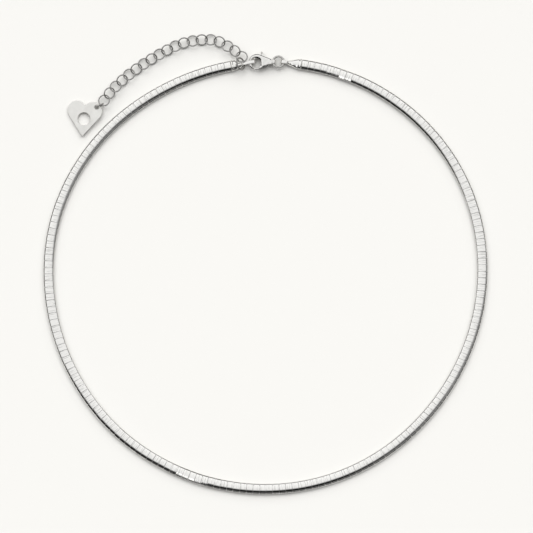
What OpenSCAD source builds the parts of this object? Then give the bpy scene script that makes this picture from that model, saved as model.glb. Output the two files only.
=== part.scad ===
// Omega necklace: a flat-lying collar of domed plates on a woven core, closed by a lobster clasp,
// with an extender chain that ends in a heart tag. Millimetres. The loop lies on z = 0 with its
// middle at the origin, the clasp towards +Y and the domed face up.

/* [Loop] */
// Radius of the band's middle line where the loop is round
ring_r = 64.7; // [60:0.1:76]
// How far the loop is flattened on the clasp side
flat_depth = 2.4; // [0:0.1:4]
// Middle of the flattened stretch, in degrees clockwise from +Y
flat_at = -12; // [-25:1:10]
// Spread of the flattened stretch to each side, in degrees
flat_spread = 33; // [26:1:45]
// Angle from +Y back to the band's left end, in degrees
left_end = 9.5; // [8:0.1:12]

/* [Band] */
// Width of the band
band_w = 3.1; // [2.8:0.1:3.6]
// Thickness of the band
band_h = 1.5; // [1.4:0.05:1.8]
// Radius of the plates' turned-under edges
edge_r = 0.4; // [0.3:0.05:0.5]
// Radius of the plates' shoulders, where the dome turns down into the sides
shoulder_r = 0.3; // [0.26:0.02:0.4]
// Height of the middle of that curve
shoulder_z = 0.7; // [0.6:0.05:0.8]
// Thickness of the plates' sheet
plate_wall = 0.22; // [0.15:0.01:0.28]
// Distance from one plate to the next
plate_pitch = 1.95; // [1.6:0.05:2.6]
// Seam between two plates, at the middle line
seam = 0.17; // [0.15:0.01:0.25]
// Opening between the two lips under a plate
lip_gap = 1.3; // [0.8:0.1:1.6]
// Width of the woven core
core_w = 2.1; // [1.8:0.05:2.2]
// Thickness of the woven core
core_h = 0.42; // [0.3:0.02:0.46]
// Length of core held inside each end cap
core_in = 1.8; // [1:0.1:2.2]

/* [End caps] */
// How far an end cap's rim stands out past the band on each side
rim_step = 0.1; // [0.05:0.05:0.3]
// Length of the rim
rim_len = 0.7; // [0.4:0.1:1]
// Step from the rim down to the cap's body
rim_drop = 0.12; // [0.05:0.01:0.25]
// Width of the left cap's body where it meets its eye
left_tip_w = 2.0; // [1.3:0.1:2.2]
// Width of the right cap's body where it meets its eye
right_tip_w = 1.6; // [1.3:0.1:2.2]
// Width of the eye, across the necklace
eye_w = 1.0; // [0.8:0.05:1.2]
// Wall of the eye round its slot
eye_wall = 0.35; // [0.25:0.05:0.5]
// Half the height of the eye's slot
slot_r = 0.65; // [0.6:0.01:0.75]
// Distance from the end of a cap's body to its slot
slot_back = 0.25; // [0.2:0.05:0.4]
// Start of the left cap's slot, from its rim
left_slot_from = 3.45; // [3.2:0.05:4]
// End of the left cap's slot, from its rim
left_slot_to = 7.15; // [6.8:0.05:7.5]
// Start of the right cap's slot, from its rim
right_slot_from = 4.2; // [3.2:0.05:4.6]
// End of the right cap's slot, from its rim
right_slot_to = 6.05; // [5.7:0.05:7]

/* [Clasp] */
// Thickness of the clasp's body
clasp_t = 2.2; // [2.1:0.05:2.4]
// Radius of the hook's inside
hook_in_r = 1.45; // [1.4:0.01:1.55]
// Radius of the hook's outside
hook_out_r = 2.35; // [2.25:0.05:2.5]
// Thickness of the hook, which is slimmer than the body
hook_t = 0.84; // [0.7:0.02:0.9]
// Thickness of the lever
lever_t = 0.7; // [0.5:0.05:0.75]
// Room above and below the lever in the body
lever_side_gap = 0.1; // [0.08:0.01:0.15]
// Radius of the pin that the lever turns on
pin_r = 0.3; // [0.25:0.01:0.35]
// Running clearance round the pin
pin_clear = 0.05; // [0.03:0.01:0.08]
// Radius of the lever's hub
hub_r = 0.7; // [0.6:0.05:0.75]
// Gap between the gate's tip and the hook's end
gate_gap = 0.1; // [0.08:0.01:0.2]
// Step from the hook's outer edge in to the gate's
gate_step = 0.1; // [0:0.02:0.2]
// Radius of the lever's thumb tab
tab_r = 0.36; // [0.3:0.02:0.4]
// Thickness of the lever's thumb tab
tab_t = 1.1; // [0.8:0.1:1.4]
// Width of the lever's arm where it meets the tab
arm_w = 0.5; // [0.4:0.05:0.6]
// Width of the clasp's tail eye
tail_w = 1.1; // [0.9:0.05:1.2]
// Wall of the tail eye round its hole
tail_wall = 0.35; // [0.3:0.01:0.4]
// Radius of the tail eye's hole
tail_hole_r = 0.6; // [0.56:0.01:0.64]

/* [Rings] */
// Outside diameter of the jump ring between clasp and cap
clasp_ring_d = 3.9; // [3.7:0.05:4.3]
// Wire of that jump ring
clasp_ring_wire = 0.65; // [0.5:0.05:0.7]
// Outside diameter of the ring that joins the extender to the left cap
end_ring_d = 4.1; // [4:0.05:4.4]
// Wire of that ring
end_ring_wire = 0.5; // [0.4:0.05:0.5]
// Angle at which that ring leans over the cap
end_ring_lean = 54; // [50:1:58]
// Outside diameter of the tag's ring
tag_ring_d = 2.8; // [2.6:0.05:3.2]
// Wire of the tag's ring
tag_ring_wire = 0.4; // [0.3:0.05:0.45]

/* [Extender] */
// Outside diameter of a link
link_d = 3.7; // [3.5:0.05:4]
// Wire of a link
link_wire = 0.4; // [0.3:0.02:0.42]
// Play between two links at their ends
link_play = 0.2; // [0.16:0.01:0.3]
// Number of links
link_count = 19; // [17:1:19]
// Turn of the flatter links about the chain's line, in degrees
roll_flat = 18; // [15:1:22]
// Turn of the steeper links the other way, in degrees
roll_steep = 32; // [30:1:36]

/* [Tag] */
// Width of the heart
tag_w = 10.4; // [8:0.1:12]
// Height of the heart
tag_h = 10.5; // [9:0.1:12]
// Thickness of the tag
tag_t = 0.6; // [0.4:0.05:0.8]
// Radius of the heart's two lobes
lobe_r = 2.8; // [2.6:0.1:2.9]
// Radius of the round window
window_r = 1.9; // [1:0.1:2.2]
// Radius of the hole for the ring
tag_hole_r = 0.65; // [0.6:0.01:0.75]
// Wall between that hole and the heart's edge
hole_wall = 0.4; // [0.35:0.05:0.7]
// Height of the tag's middle above the table at that hole
tag_lift = 0.9; // [0.8:0.05:1]
// Turn of the heart on the table, in degrees
tag_turn = -5.8; // [-20:0.5:20]
// Direction in which the tag lies from the last link, in degrees
tag_side = 208; // [200:1:216]

/* [Hidden] */
// Clearance of a piece in the eye or socket that holds it
fit = 0.12;
// Greatest angle between a cap and the line of the clasp, in degrees
skew = 10;
// Lift of the chain's rings off the table
lift = 0.05;
// Where the loop bulges or sinks from that shape: angle clockwise from +Y, height as a share of
// the loop's radius, and spread in degrees
loop_bends = [
    [65, 0.0052, 16], [125, -0.0073, 18], [224, 0.0024, 10], [284, 0.0029, 9], [328, -0.0054, 13]
];
// Part of a cosine wave, in degrees, that eases a cap's sides
ease_turn = 150;
// The extender's route, from the left cap to the tag, with its height above the flat chain
extender_route = [
    [-7.05, 64.05, 1.0], [-9.95, 66.4, 0.42], [-15.6, 69.1, 0], [-24.0, 68.3, 0],
    [-32.0, 64.6, 0], [-40.0, 59.3, 0], [-45.4, 54.4, 0.3], [-48.2, 50.8, 0.6]
];
// The lever's pin, in the clasp's own frame: hook's middle at the origin, tail towards +X
pin_at = [2.2, -0.1];
// Middle of the tail eye in that frame
tail_at = [4.95, 0.45];
// Middle of the thumb tab in that frame
tab_at = [1.62, 3.25];
// Middle of the hook's outer circle in that frame
hook_out_at = [0.1, 0.35];
// Height in that frame at which the left cap's eye lies in the hook
hook_seat_v = 0.5;
// Distance from the pin to the gate's tip
gate_reach = 3.3;
// Where the thick body starts beside the hook, and how far the hook runs into it
body_from = 0.2;
hook_into = 0.5;
// Room beside the lever's hub on the hook's side
room_side = 0.45;
// Reach that takes in the whole clasp
far = 12;
// Direction of the tag's hole from the middle of its lobe, in degrees
hole_heading = 53;
// Radius of the long curve that domes the clasp's faces
clasp_dome_r = 5.5;
// Degrees between the samples that measure the band's length
sample = 1;
$fn = 32;

// Plates' section: the dome's curve rises by dome_z over dome_x, between the shoulders' middles
foot_x = band_w / 2 - edge_r;
dome_x = band_w / 2 - shoulder_r;
dome_z = band_h - shoulder_r - shoulder_z;

// Route of the band: a circle with bell-shaped bends, of which the dent on the clasp side is the largest
function sum_of(v) = v * [for (i = v) 1];
function turn_to(a) = a > 180 ? a - 360 : a < -180 ? a + 360 : a;
function bell(a, middle, spread) = exp(-pow(turn_to(a - middle) / spread, 2) / 2);
function band_radius(a) =
    ring_r - flat_depth * bell(a, flat_at, flat_spread)
    + ring_r * sum_of([for (b = loop_bends) b[1] * bell(a, b[0], b[2])]);
function band_xy(a) = band_radius(a) * [sin(a), cos(a)];
function band_heading(a) = let (d = band_xy(a + 0.05) - band_xy(a - 0.05)) atan2(d[1], d[0]);
function ahead(p, heading, s) = [p[0] + s * cos(heading), p[1] + s * sin(heading)];
function turned(p, a) = [p[0] * cos(a) - p[1] * sin(a), p[0] * sin(a) + p[1] * cos(a)];
function heading_to(p, q) = atan2(q[1] - p[1], q[0] - p[0]);

// Height of both caps' eyes
eye_r = slot_r + eye_wall;
eye_z = eye_r;
clasp_z = clasp_t / 2;

// Left end: the hook lies in the far end of the left cap's slot
left_at = 360 - left_end;
left_xy = band_xy(left_at);
left_heading = band_heading(left_at);
hook_inner_u = -sqrt(pow(hook_in_r, 2) - pow(hook_seat_v + eye_w / 2, 2));
hook_rise = clasp_z - eye_z + hook_t / 2;
slot_rounding = slot_r - sqrt(pow(slot_r, 2) - pow(hook_rise, 2));
skew_room = eye_w / 2 * sin(skew);
hook_seat = [hook_inner_u + 1.5 * fit + slot_rounding + skew_room, hook_seat_v];
left_seat_xy = ahead(left_xy, left_heading, left_slot_to);

// Right end: its place is where clasp and jump ring just fill the gap
clasp_ring_mid = (clasp_ring_d - clasp_ring_wire) / 2;
clasp_ring_in = clasp_ring_mid - clasp_ring_wire / 2;
ring_sag = clasp_ring_in - sqrt(pow(clasp_ring_in, 2) - pow(eye_w / 2, 2));
right_seat = right_slot_to - clasp_ring_wire / 2 - 1.5 * fit - ring_sag - skew_room;
closure = norm(tail_at - hook_seat) + 2 * clasp_ring_mid;
function right_seat_xy(a) = ahead(band_xy(a), band_heading(a) + 180, right_seat);
function end_angle(low, high, n) =
    n == 0 ? (low + high) / 2
    : let (mid = (low + high) / 2)
      norm(right_seat_xy(mid) - left_seat_xy) < closure
      ? end_angle(mid, high, n - 1)
      : end_angle(low, mid, n - 1);
right_at = end_angle(3, 30, 24);
right_xy = band_xy(right_at);
right_heading = band_heading(right_at) + 180;

// Length along the band, as pairs of length and angle
sample_count = ceil((left_at - right_at) / sample);
function sample_angle(i) = right_at + (left_at - right_at) * i / sample_count;
function sample_step(i) = norm(band_xy(sample_angle(i + 1)) - band_xy(sample_angle(i)));
length_table = [
    for (i = 0, len = 0; i <= sample_count; len = len + sample_step(i), i = i + 1) [len, sample_angle(i)]
];
band_len = length_table[sample_count][0];
plate_count = round(band_len / plate_pitch);
plate_step = band_len / plate_count;

// Clasp's place on the line between the two eyes
closure_heading = heading_to(left_seat_xy, right_seat_xy(right_at));
clasp_heading = closure_heading - heading_to(hook_seat, tail_at);
clasp_xy = left_seat_xy - turned(hook_seat, clasp_heading);
tail_xy = clasp_xy + turned(tail_at, clasp_heading);
clasp_ring_xy = ahead(tail_xy, closure_heading, clasp_ring_mid);
clasp_ring_tilt = asin((clasp_z - eye_z) / (2 * clasp_ring_mid));

// Ring at the left cap, in the cap's own frame: rim at x = 0, eye towards +X
end_ring_mid = (end_ring_d - end_ring_wire) / 2;
end_ring_seat = left_slot_from + end_ring_wire / 2 + 2.5 * fit;

// Extender: the route is a smooth curve through its points, and the links stand along it
link_mid = (link_d - link_wire) / 2;
link_pitch = link_d - 2 * link_wire - link_play;
link_z = link_mid * sin(roll_steep) + link_wire / 2 + lift;
route_steps = 12;
route_last = len(extender_route) - 1;
function route_point(i) =
    i < 0 ? 2 * extender_route[0] - extender_route[1]
    : i > route_last ? 2 * extender_route[route_last] - extender_route[route_last - 1]
    : extender_route[i];
function blend(a, b, c, d, t) =
    (2 * b + (c - a) * t + (2 * a - 5 * b + 4 * c - d) * t * t + (3 * b - a - 3 * c + d) * t * t * t) / 2;
function route_at(k) =
    let (i = min(floor(k / route_steps), route_last - 1), t = k / route_steps - i)
    blend(route_point(i - 1), route_point(i), route_point(i + 1), route_point(i + 2), t);
function route_step(k) = norm(route_at(k + 1) - route_at(k));
route_table = [
    for (k = 0, len = 0; k <= route_last * route_steps; len = len + route_step(k), k = k + 1) [len, k]
];
function link_at(i) = route_at(lookup(i * link_pitch, route_table)) + [0, 0, link_z];
function link_way(i) =
    let (k = lookup(i * link_pitch, route_table)) route_at(k + 0.1) - route_at(k - 0.1);
function link_heading(i) = heading_to([0, 0], link_way(i));
function link_slope(i) = let (d = link_way(i)) atan2(d[2], norm([d[0], d[1]]));
function link_name(i) = str("extender_link_", i < 10 ? "0" : "", i);

// Tag: its ring spans from the last link's end to the tag's hole
tag_ring_mid = (tag_ring_d - tag_ring_wire) / 2;
tag_ring_z = tag_ring_mid + tag_ring_wire / 2 + lift;
last_slope = link_slope(link_count - 1);
last_at = link_at(link_count - 1);
last_wire_xy = ahead(last_at, link_heading(link_count - 1), link_mid * cos(last_slope));
last_wire_z = last_at[2] + link_mid * sin(last_slope);
tag_ring_room = tag_ring_mid - (tag_ring_wire + link_wire) / 2 - 2.5 * fit;
tag_ring_reach = sqrt(max(0, pow(tag_ring_room, 2) - pow(last_wire_z - tag_ring_z, 2)));
tag_ring_xy = ahead(last_wire_xy, tag_side, tag_ring_reach);
tag_hole_xy = ahead(tag_ring_xy, tag_side, sqrt(pow(tag_ring_mid, 2) - pow(tag_ring_z - tag_lift, 2)));
lobe_at = [tag_w / 2 - lobe_r, tag_h / 2 - lobe_r];
tag_tip = [0, -tag_h / 2];
tag_hole_at = ahead(lobe_at, hole_heading, lobe_r - hole_wall - tag_hole_r);
tag_tilt = asin((tag_lift - tag_t / 2) / (tag_hole_at[0] + tag_w / 2));

// Puts its children in the frame of a piece that starts at p and points along heading
module place(p, heading, z = 0) {
    translate([p[0], p[1], z]) rotate([0, 0, heading]) children();
}

// A closed round ring about the Z axis, by the radius of its middle line and its wire
module torus(mid_r, wire) {
    rotate_extrude($fn = 48) translate([mid_r, 0]) circle(d = wire, $fn = 24);
}

// Extrudes a drawing in the YZ plane along +X
module along_x(length) {
    rotate([90, 0, 90]) linear_extrude(length) children();
}

// Extrudes a drawing in the XZ plane along Y, centred
module across_y(width) {
    translate([0, width / 2, 0]) rotate([90, 0, 0]) linear_extrude(width) children();
}

// Domed section with round shoulders, upright sides and turned-under edges, standing on z = 0 and
// grown by `more` on every side
module dome_section(more) {
    spread = (pow(dome_x, 2) + pow(dome_z, 2)) / (2 * dome_z);
    reach = spread + shoulder_r + more;
    low = band_h + more - reach;
    wedge_x = dome_x * (edge_r - low) / (shoulder_z - low);
    intersection() {
        translate([0, low]) circle(r = reach, $fn = 64);
        polygon([
            [-wedge_x, edge_r],
            [wedge_x, edge_r],
            [2 * dome_x, low + 2 * (shoulder_z - low)],
            [2 * dome_x, 2 * band_h],
            [-2 * dome_x, 2 * band_h],
            [-2 * dome_x, low + 2 * (shoulder_z - low)]
        ]);
    }
    for (side = [-1, 1]) {
        translate([side * dome_x, shoulder_z]) circle(r = shoulder_r + more);
        translate([side * foot_x, edge_r]) circle(r = edge_r + more);
    }
    translate([-band_w / 2 - more, edge_r]) square([band_w + 2 * more, shoulder_z - edge_r]);
    translate([-foot_x, -more]) square([2 * foot_x, shoulder_z + more]);
}

// Section of one plate: a bent sheet, open underneath between its lips
module plate_section() {
    difference() {
        dome_section(0);
        dome_section(-plate_wall);
        translate([-lip_gap / 2, -plate_wall]) square([lip_gap, 3 * plate_wall]);
    }
}

// The plates from number `first` to `last`, counted from the band's right end
module plates(first, last) {
    length = plate_step - seam;
    color("gainsboro")
        for (i = [first:last]) {
            a = lookup((i + 0.5) * plate_step, length_table);
            place(band_xy(a), band_heading(a))
                translate([-length / 2, 0, 0]) along_x(length) plate_section();
        }
}

// The woven core: a ribbon along the whole band and into both caps
module band_core() {
    stations = ceil(plate_count / 2);
    angles = [for (i = [0:stations]) lookup(band_len * i / stations, length_table)];
    line = concat(
        [[ahead(right_xy, right_heading, core_in), right_heading + 180]],
        [for (a = angles) [band_xy(a), band_heading(a)]],
        [[ahead(left_xy, left_heading, core_in), left_heading]]
    );
    low = plate_wall + fit;
    corners = [[-1, 0], [1, 0], [1, 1], [-1, 1]];
    points = [
        for (s = line, c = corners)
            let (p = ahead(s[0], s[1] + 90, c[0] * core_w / 2)) [p[0], p[1], low + c[1] * core_h]
    ];
    last = 4 * (len(line) - 1);
    sides = [
        for (i = [0:len(line) - 2], k = [0:3])
            let (n = (k + 1) % 4) [4 * i + k, 4 * i + n, 4 * i + 4 + n, 4 * i + 4 + k]
    ];
    color("silver")
        polyhedron(points, concat([[3, 2, 1, 0]], sides, [[last, last + 1, last + 2, last + 3]]));
}

// Side view of a cap's eye: a long loop, grown by `more`
module eye_outline(from, to, more) {
    for (x = [from + slot_r, to - slot_r])
        translate([x, eye_z]) circle(r = slot_r + more);
    translate([from + slot_r, eye_z - slot_r - more]) square([to - from - 2 * slot_r, 2 * (slot_r + more)]);
}

// Plan of a cap: the rim, then a body that eases down to the eye
module cap_plan(body_end, tip_w) {
    rim_half = band_w / 2 + rim_step;
    body_half = rim_half - rim_drop;
    steps = 6;
    eased = [
        for (i = [0:steps])
            let (t = i / steps, ease = (1 - cos(ease_turn * t)) / (1 - cos(ease_turn)))
            [rim_len + (body_end - rim_len) * t, body_half + (tip_w / 2 - body_half) * ease]
    ];
    translate([0, -rim_half]) square([rim_len, 2 * rim_half]);
    polygon(concat([[0, body_half]], eased,
        [for (i = [steps:-1:0]) [eased[i][0], -eased[i][1]]], [[0, -body_half]]));
}

// One end cap with its eye, from the rim at x = 0 towards +X
module cap(slot_from, slot_to, tip_w) {
    color("lightgray")
        difference() {
            union() {
                intersection() {
                    linear_extrude(3 * band_h) cap_plan(slot_from - slot_back, tip_w);
                    translate([0, 0, rim_step]) along_x(slot_from) dome_section(rim_step);
                }
                across_y(eye_w) {
                    eye_outline(slot_from, slot_to, eye_wall);
                    translate([slot_from - eye_r, eye_z - eye_r]) square([2 * eye_r, 1.6 * eye_r]);
                }
            }
            across_y(2 * band_w) eye_outline(slot_from, slot_to, 0);
            translate([-1, -core_w / 2 - fit, plate_wall])
                cube([core_in + 1 + fit, core_w + 2 * fit, core_h + 2 * fit]);
        }
}

module cap_left() {
    place(left_xy, left_heading) cap(left_slot_from, left_slot_to, left_tip_w);
}

module cap_right() {
    place(right_xy, right_heading) cap(right_slot_from, right_slot_to, right_tip_w);
}

// Point where the line from p touches the hook's outer circle, on the side given
function touch_from(p, side) =
    let (away = p - hook_out_at, turn = heading_to([0, 0], away) + side * acos(hook_out_r / norm(away)))
    ahead(hook_out_at, turn, hook_out_r);

// Plan of the clasp's body: a teardrop from beside the hook, with straight sides down to the tail
module body_plan() {
    half = [0, tail_w / 2];
    slope = (touch_from(tail_at + half, 1) - tail_at - half);
    polygon([
        tail_at + half + slope * (body_from - tail_at[0]) / slope[0], tail_at + half, tail_at - half,
        touch_from(tail_at - half, -1), [body_from, 0]
    ]);
}

// The gate's side of the hook: below the pin and within `reach` of it
module gate_side(reach) {
    intersection() {
        translate(pin_at) circle(r = reach, $fn = 96);
        translate([-far, pin_at[1] - far]) square([far + pin_at[0], far]);
    }
}

// Room between the body's two cheeks in which the lever turns
module lever_room() {
    height = lever_t + 2 * lever_side_gap;
    from = pin_at[0] - hub_r - room_side;
    to = pin_at[0] + hub_r + 2 * lever_side_gap;
    translate([0, 0, -height / 2])
        linear_extrude(height)
            polygon([[from, far], [from, 0], [0, 0], [0, -far], [to, -far], [to, far]]);
}

// A long cylinder that domes the clasp's upper (+1) or lower (-1) face
module clasp_dome(side) {
    translate([-far, tail_at[1], side * (clasp_t / 2 - clasp_dome_r)])
        rotate([0, 90, 0]) cylinder(r = clasp_dome_r, h = 2 * far, $fn = 96);
}

// Plan of the hook, before its inside is cut: from inside the body round to the gate's tip
module hook_plan() {
    difference() {
        intersection() {
            translate(hook_out_at) circle(r = hook_out_r, $fn = 64);
            translate([body_from + hook_into - far, -far]) square([far, 2 * far]);
        }
        gate_side(gate_reach + gate_gap);
    }
}

// The clasp's body with its hook, pin and tail eye, which are one casting
module clasp_body() {
    color("silver")
        place(clasp_xy, clasp_heading, clasp_z)
            difference() {
                union() {
                    translate([0, 0, -hook_t / 2]) linear_extrude(hook_t) hook_plan();
                    difference() {
                        intersection() {
                            translate([0, 0, -clasp_t]) linear_extrude(2 * clasp_t) body_plan();
                            clasp_dome(-1);
                            clasp_dome(1);
                        }
                        lever_room();
                    }
                    translate([pin_at[0], pin_at[1], -clasp_t / 3]) cylinder(r = pin_r, h = 2 * clasp_t / 3);
                    translate([tail_at[0], tail_at[1], 0])
                        across_y(tail_w) circle(r = tail_hole_r + tail_wall);
                }
                translate([0, 0, -clasp_t]) cylinder(r = hook_in_r, h = 2 * clasp_t, $fn = 48);
                translate([tail_at[0], tail_at[1], 0]) across_y(4 * tail_w) circle(r = tail_hole_r);
            }
}

// The lever: its gate closes the hook, and its tab sticks out on the other side
module clasp_lever() {
    color("whitesmoke")
        place(clasp_xy, clasp_heading, clasp_z)
            difference() {
                union() {
                    translate([0, 0, -lever_t / 2])
                        linear_extrude(lever_t) {
                            intersection() {
                                difference() {
                                    translate(hook_out_at) circle(r = hook_out_r - gate_step, $fn = 64);
                                    circle(r = hook_in_r, $fn = 48);
                                }
                                gate_side(gate_reach);
                            }
                            translate(pin_at) circle(r = hub_r);
                            polygon([
                                pin_at - [0.8 * hub_r, 0], pin_at + [0.8 * hub_r, 0],
                                tab_at + [arm_w / 2, 0], tab_at - [arm_w / 2, 0]
                            ]);
                        }
                    translate([tab_at[0], tab_at[1], -tab_t / 2]) cylinder(r = tab_r, h = tab_t);
                }
                translate([pin_at[0], pin_at[1], -clasp_t]) cylinder(r = pin_r + pin_clear, h = 2 * clasp_t);
            }
}

// Jump ring between the clasp's tail and the right cap
module clasp_ring() {
    color("silver")
        place(clasp_ring_xy, closure_heading, (clasp_z + eye_z) / 2)
            rotate([0, clasp_ring_tilt, 0]) torus(clasp_ring_mid, clasp_ring_wire);
}

// Ring through the left cap's slot, leaning back over the cap
module extender_ring() {
    color("silver")
        place(left_xy, left_heading)
            translate([
                end_ring_seat - end_ring_mid * cos(end_ring_lean), 0, eye_z + end_ring_mid * sin(end_ring_lean)
            ])
                rotate([0, end_ring_lean, 0]) torus(end_ring_mid, end_ring_wire);
}

// One link, counted from 1 at the cap: every second one is turned the other way
module extender_link(i) {
    color("silver")
        place(link_at(i - 1), link_heading(i - 1), link_at(i - 1)[2])
            rotate([i % 2 == 1 ? roll_flat : -roll_steep, -link_slope(i - 1), 0])
                torus(link_mid, link_wire);
}

// Ring between the last link and the tag, standing on edge
module tag_ring() {
    color("dimgray")
        place(tag_ring_xy, tag_side, tag_ring_z) rotate([90, 0, 0]) torus(tag_ring_mid, tag_ring_wire);
}

// Plan of the heart: two round lobes and straight sides that run from them to the tip
module heart_plan() {
    reach = lobe_at - tag_tip;
    side_angle = heading_to(tag_tip, lobe_at) - asin(lobe_r / norm(reach));
    touch = ahead(tag_tip, side_angle, sqrt(pow(norm(reach), 2) - pow(lobe_r, 2)));
    for (side = [-1, 1])
        translate([side * lobe_at[0], lobe_at[1]]) circle(r = lobe_r, $fn = 64);
    polygon([tag_tip, touch, lobe_at, [-lobe_at[0], lobe_at[1]], [-touch[0], touch[1]]]);
}

// The plain heart tag, with its left lobe on the table and its ring's side raised
module heart_tag() {
    color("lightgray")
        place(tag_hole_xy, tag_turn, tag_lift)
            rotate([0, -tag_tilt, 0])
                translate([-tag_hole_at[0], -tag_hole_at[1], -tag_t / 2])
                    linear_extrude(tag_t)
                        difference() {
                            heart_plan();
                            circle(r = window_r, $fn = 48);
                            translate(tag_hole_at) circle(r = tag_hole_r);
                        }
}

half_way = floor(plate_count / 2);
plates(0, half_way - 1);  // plates_right
plates(half_way, plate_count - 1);  // plates_left
band_core();
cap_left();
cap_right();
clasp_body();
clasp_lever();
clasp_ring();
extender_ring();
for (i = [1:link_count])
    extender_link(i);
tag_ring();
heart_tag();
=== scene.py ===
"""Looks of the omega necklace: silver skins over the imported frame, a pale table and soft light.

Every skin is a numpy surface in the frame's own coordinates: x to the right and y towards the
clasp as the necklace lies, z up from the table. Sizes and points are in millimetres and turn to
metres where a surface becomes a mesh. Angles are in degrees.
"""

import logging
import math
from dataclasses import dataclass, field
from enum import Enum

import bpy
import numpy as np
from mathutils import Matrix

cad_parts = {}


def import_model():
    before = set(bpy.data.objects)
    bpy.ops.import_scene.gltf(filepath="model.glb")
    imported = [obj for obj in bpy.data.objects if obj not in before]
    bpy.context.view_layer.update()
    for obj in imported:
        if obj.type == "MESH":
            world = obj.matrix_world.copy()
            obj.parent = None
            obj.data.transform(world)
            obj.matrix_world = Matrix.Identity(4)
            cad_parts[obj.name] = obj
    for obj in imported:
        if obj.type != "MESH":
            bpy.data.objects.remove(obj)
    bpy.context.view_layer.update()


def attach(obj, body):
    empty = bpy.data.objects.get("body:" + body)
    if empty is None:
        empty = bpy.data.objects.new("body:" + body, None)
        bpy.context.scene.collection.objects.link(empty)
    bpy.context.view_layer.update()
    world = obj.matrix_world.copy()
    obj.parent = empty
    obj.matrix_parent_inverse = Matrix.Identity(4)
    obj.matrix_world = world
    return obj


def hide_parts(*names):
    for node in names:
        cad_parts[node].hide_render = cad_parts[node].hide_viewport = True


Array = np.ndarray
LOG = logging.getLogger("omega_necklace")
MM = 0.001
NECKLACE, LEVER = "necklace", "clasp_lever"


# Geometry


def ray(angle: float | Array) -> Array:
    """Gives the unit vectors at angles from +X, as the last axis of the result."""
    turn = np.radians(angle)
    return np.stack([np.cos(turn), np.sin(turn)], axis=-1)


def heading(way: Array) -> float:
    """Gives the direction of a plane vector, as its angle from +X."""
    return math.degrees(math.atan2(way[1], way[0]))


def climb(way: Array) -> float:
    """Gives how steeply a vector rises, as its angle above the plane."""
    return math.degrees(math.atan2(way[2], math.hypot(way[0], way[1])))


def aside(angle: Array, middle: float | Array) -> Array:
    """Gives how far angles lie from a middle one, from -180 to 180."""
    return (angle - middle + 180.0) % 360.0 - 180.0


def bell(off: Array, spread: Array) -> Array:
    """Gives a bell curve of height 1: e to minus half the square of the offset over the spread."""
    return np.exp(-((off / spread) ** 2) / 2.0)


def eased(t: Array) -> Array:
    """Runs smoothly from 0 to 1 as t does, flat at both ends, and holds there outside."""
    t = np.clip(t, 0.0, 1.0)
    return t * t * (3.0 - 2.0 * t)


def lengths(points: Array) -> Array:
    """Gives the length along a line of points up to each of them."""
    return np.concatenate([[0.0], np.cumsum(np.linalg.norm(np.diff(points, axis=0), axis=1))])


def raised(flat: Array, high: float | Array) -> Array:
    """Gives plane points of (..., 2) their heights, which makes them points of (..., 3)."""
    return np.concatenate([flat, np.broadcast_to(high, flat.shape[:-1])[..., None]], axis=-1)


def spin(axis: str, angle: float) -> Array:
    """Gives the matrix of a turn about X, Y or Z.

    Args:
        axis: "x", "y" or "z".
        angle: The turn, by the right-hand rule.

    Returns:
        A 3 by 3 matrix that turns column vectors.
    """
    c, s = math.cos(math.radians(angle)), math.sin(math.radians(angle))
    i, j = {"x": (1, 2), "y": (2, 0), "z": (0, 1)}[axis]
    turn = np.eye(3)
    turn[i, i] = turn[j, j] = c
    turn[j, i], turn[i, j] = s, -s
    return turn


@dataclass
class Place:
    """Where a piece stands: its turn, then its shift."""

    turn: Array
    at: Array

    def of(self, points: Array) -> Array:
        """Carries points of any grid into the necklace's frame."""
        return points @ self.turn.T + self.at


def rounded_bar(half_width: float, half_height: float, corner: float, steps: int) -> Array:
    """Gives a rectangle with round corners as a closed loop, a quarter circle at each corner.

    Args:
        half_width: Half its size along the first axis.
        half_height: Half its size along the second.
        corner: Radius of the corners.
        steps: Points along each quarter circle.

    Returns:
        Points of (4 * steps, 2).
    """
    turn = np.linspace(0.0, 90.0, steps)
    return np.concatenate([
        ray(turn + 90.0 * k) * corner + [sx * (half_width - corner), sy * (half_height - corner)]
        for k, (sx, sy) in enumerate([(1, 1), (-1, 1), (-1, -1), (1, -1)])
    ])


def bar_loop(path: Array, out: Array, y: float, half: float, wall: float) -> Array:
    """Carries a flat bar with round corners along a loop in an upright plane.

    The point (u, v) is the path's point u, moved outwards there by the section's height at v, and
    along Y by the section's width at v.

    Args:
        path: The loop's x and z, (u, 2).
        out: Unit vectors out of the loop at its points, (u, 2).
        y: Where the plane stands.
        half: Half the bar's width.
        wall: The bar's thickness.

    Returns:
        A grid of (u, v, 3).
    """
    corner, steps = 0.17, 5
    section = rounded_bar(half, wall / 2.0, corner, steps)
    upright = path[:, None, :] + section[None, :, 1:] * out[:, None, :]
    across = np.broadcast_to(y + section[:, 0], upright.shape[:2])
    return np.stack([upright[..., 0], across, upright[..., 1]], axis=-1)


# Meshes


def smooth(mesh: bpy.types.Mesh, crease: float) -> None:
    """Shades a mesh smooth, but for the edges that bend by more than the crease."""
    mesh.shade_smooth()
    mesh.set_sharp_from_angle(angle=math.radians(crease))


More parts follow.
